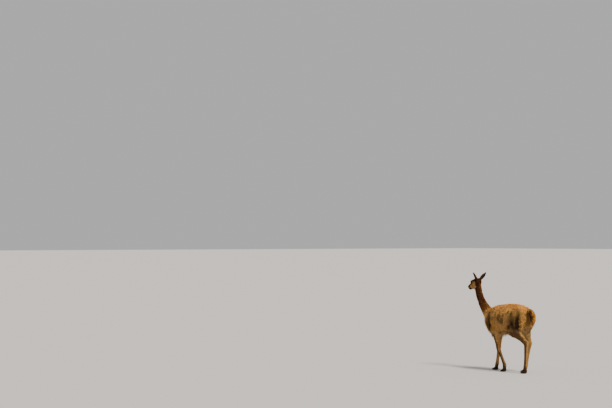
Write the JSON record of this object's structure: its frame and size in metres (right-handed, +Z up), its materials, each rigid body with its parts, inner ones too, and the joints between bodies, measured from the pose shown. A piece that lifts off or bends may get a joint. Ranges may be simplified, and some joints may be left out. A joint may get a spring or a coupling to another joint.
{
  "type": "vicuna model",
  "caption": "Life-size still model of a vicuna standing in mid step, with a long upright neck, woolly trunk, drooping tail and slim legs.",
  "frame": {"origin": "on the floor under the middle of the model's box", "axes": "+Z up, the animal faces -Y, its left side is +X"},
  "size_m": [0.3299, 1.1942, 1.2626],
  "materials": {
    "coat": "dense matt wool, golden brown above, cream on chest and belly",
    "ear": "short matt hair, dark brown outside",
    "eye": "wet gloss, near black",
    "nail": "satin horn, near black"
  },
  "bodies": {
    "root": {"head": "coat", "neck": "coat", "trunk": "coat", "tail": "coat", "foreleg_left": "coat", "foreleg_right": "coat", "hindleg_left": "coat", "hindleg_right": "coat", "ear_left": "ear", "ear_right": "ear", "eye_left": "eye", "eye_right": "eye", "nail_fore_left_1": "nail", "nail_fore_left_2": "nail", "nail_fore_right_1": "nail", "nail_fore_right_2": "nail", "nail_hind_left_1": "nail", "nail_hind_left_2": "nail", "nail_hind_right_1": "nail", "nail_hind_right_2": "nail"}
  },
  "joints": []
}
